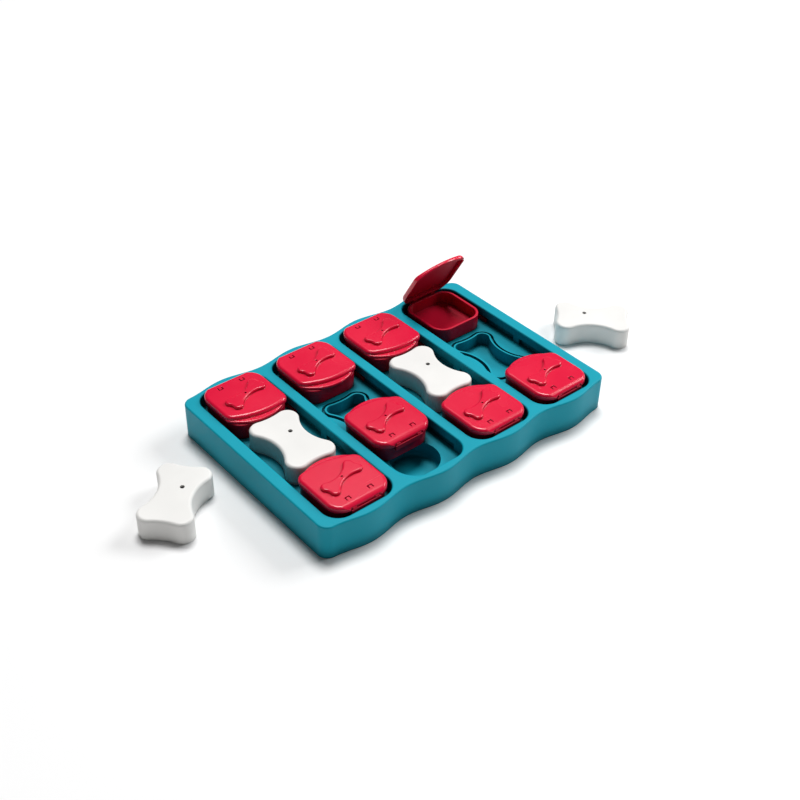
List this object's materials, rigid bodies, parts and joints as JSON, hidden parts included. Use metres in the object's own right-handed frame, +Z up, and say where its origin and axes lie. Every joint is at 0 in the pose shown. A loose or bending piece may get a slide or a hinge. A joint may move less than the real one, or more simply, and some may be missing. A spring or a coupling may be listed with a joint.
{
  "type": "dog puzzle feeder toy",
  "caption": "Low rectangular treat tray with parallel channels, sliding lidded boxes and lift-out bone-shaped covers over treat wells.",
  "frame": {"origin": "centre of the tray on the plane it rests on", "axes": "+X along the wavy long side, +Y along the channels away from the viewer, +Z up"},
  "size_m": [0.5401, 0.222, 0.09],
  "materials": {
    "tray_plastic": "smooth satin moulded turquoise plastic",
    "slider_plastic": "smooth satin moulded red plastic",
    "lid_plastic": "smooth glossy moulded red plastic",
    "cover_plastic": "smooth satin moulded white plastic"
  },
  "bodies": {
    "tray": {"tray": "tray_plastic"},
    "box_1_front": {"slider_box_1_front": "slider_plastic"},
    "lid_1_front": {"lid_1_front": "lid_plastic"},
    "box_1_back": {"slider_box_1_back": "slider_plastic"},
    "lid_1_back": {"lid_1_back": "lid_plastic"},
    "box_2_front": {"slider_box_2_front": "slider_plastic"},
    "lid_2_front": {"lid_2_front": "lid_plastic"},
    "box_2_back": {"slider_box_2_back": "slider_plastic"},
    "lid_2_back": {"lid_2_back": "lid_plastic"},
    "box_3_front": {"slider_box_3_front": "slider_plastic"},
    "lid_3_front": {"lid_3_front": "lid_plastic"},
    "box_3_back": {"slider_box_3_back": "slider_plastic"},
    "lid_3_back": {"lid_3_back": "lid_plastic"},
    "box_4_front": {"slider_box_4_front": "slider_plastic"},
    "lid_4_front": {"lid_4_front": "lid_plastic"},
    "box_4_back": {"slider_box_4_back": "slider_plastic"},
    "lid_4_back": {"lid_4_back": "lid_plastic"},
    "cover_1": {"bone_cover_1": "cover_plastic"},
    "cover_2": {"bone_cover_2_loose": "cover_plastic"},
    "cover_3": {"bone_cover_3": "cover_plastic"},
    "cover_4": {"bone_cover_4_loose": "cover_plastic"}
  },
  "joints": [
    {"name": "slide_1_front", "type": "slide", "parent": "tray", "child": "box_1_front", "axis": [0, 1, 0], "range_m": [0, 0.0007]},
    {"name": "flip_1_front", "type": "hinge", "parent": "box_1_front", "child": "lid_1_front", "pos_m": [-0.1167, -0.1001, 0.0355], "axis": [1, 0, 0], "range_deg": [0, 60]},
    {"name": "slide_1_back", "type": "slide", "parent": "tray", "child": "box_1_back", "axis": [0, 1, 0], "range_m": [-0.0007, 0]},
    {"name": "flip_1_back", "type": "hinge", "parent": "box_1_back", "child": "lid_1_back", "pos_m": [-0.1167, 0.1001, 0.0355], "axis": [-1, 0, 0], "range_deg": [0, 60]},
    {"name": "slide_2_front", "type": "slide", "parent": "tray", "child": "box_2_front", "axis": [0, 1, 0], "range_m": [-0.039, 0]},
    {"name": "flip_2_front", "type": "hinge", "parent": "box_2_front", "child": "lid_2_front", "pos_m": [-0.0389, -0.0611, 0.0355], "axis": [1, 0, 0], "range_deg": [0, 60]},
    {"name": "slide_2_back", "type": "slide", "parent": "tray", "child": "box_2_back", "axis": [0, 1, 0], "range_m": [-0.035, 0]},
    {"name": "flip_2_back", "type": "hinge", "parent": "box_2_back", "child": "lid_2_back", "pos_m": [-0.0389, 0.1001, 0.0355], "axis": [-1, 0, 0], "range_deg": [0, 60]},
    {"name": "slide_3_front", "type": "slide", "parent": "tray", "child": "box_3_front", "axis": [0, 1, 0], "range_m": [0, 0.0007]},
    {"name": "flip_3_front", "type": "hinge", "parent": "box_3_front", "child": "lid_3_front", "pos_m": [0.0389, -0.1001, 0.0355], "axis": [1, 0, 0], "range_deg": [0, 60]},
    {"name": "slide_3_back", "type": "slide", "parent": "tray", "child": "box_3_back", "axis": [0, 1, 0], "range_m": [-0.0007, 0]},
    {"name": "flip_3_back", "type": "hinge", "parent": "box_3_back", "child": "lid_3_back", "pos_m": [0.0389, 0.1001, 0.0355], "axis": [-1, 0, 0], "range_deg": [0, 60]},
    {"name": "slide_4_front", "type": "slide", "parent": "tray", "child": "box_4_front", "axis": [0, 1, 0], "range_m": [0, 0.039]},
    {"name": "flip_4_front", "type": "hinge", "parent": "box_4_front", "child": "lid_4_front", "pos_m": [0.1167, -0.1001, 0.0355], "axis": [1, 0, 0], "range_deg": [0, 60]},
    {"name": "slide_4_back", "type": "slide", "parent": "tray", "child": "box_4_back", "axis": [0, 1, 0], "range_m": [-0.039, 0]},
    {"name": "flip_4_back", "type": "hinge", "parent": "box_4_back", "child": "lid_4_back", "pos_m": [0.1167, 0.1001, 0.0355], "axis": [-1, 0, 0], "range_deg": [-60, 0]},
    {"name": "lift_cover_1", "type": "slide", "parent": "tray", "child": "cover_1", "axis": [0, 0, 1], "range_m": [0, 0.05]},
    {"name": "lift_cover_2", "type": "slide", "parent": "tray", "child": "cover_2", "axis": [0, 0, 1], "range_m": [0, 0.05]},
    {"name": "lift_cover_3", "type": "slide", "parent": "tray", "child": "cover_3", "axis": [0, 0, 1], "range_m": [0, 0.05]},
    {"name": "lift_cover_4", "type": "slide", "parent": "tray", "child": "cover_4", "axis": [0, 0, 1], "range_m": [0, 0.05]}
  ]
}
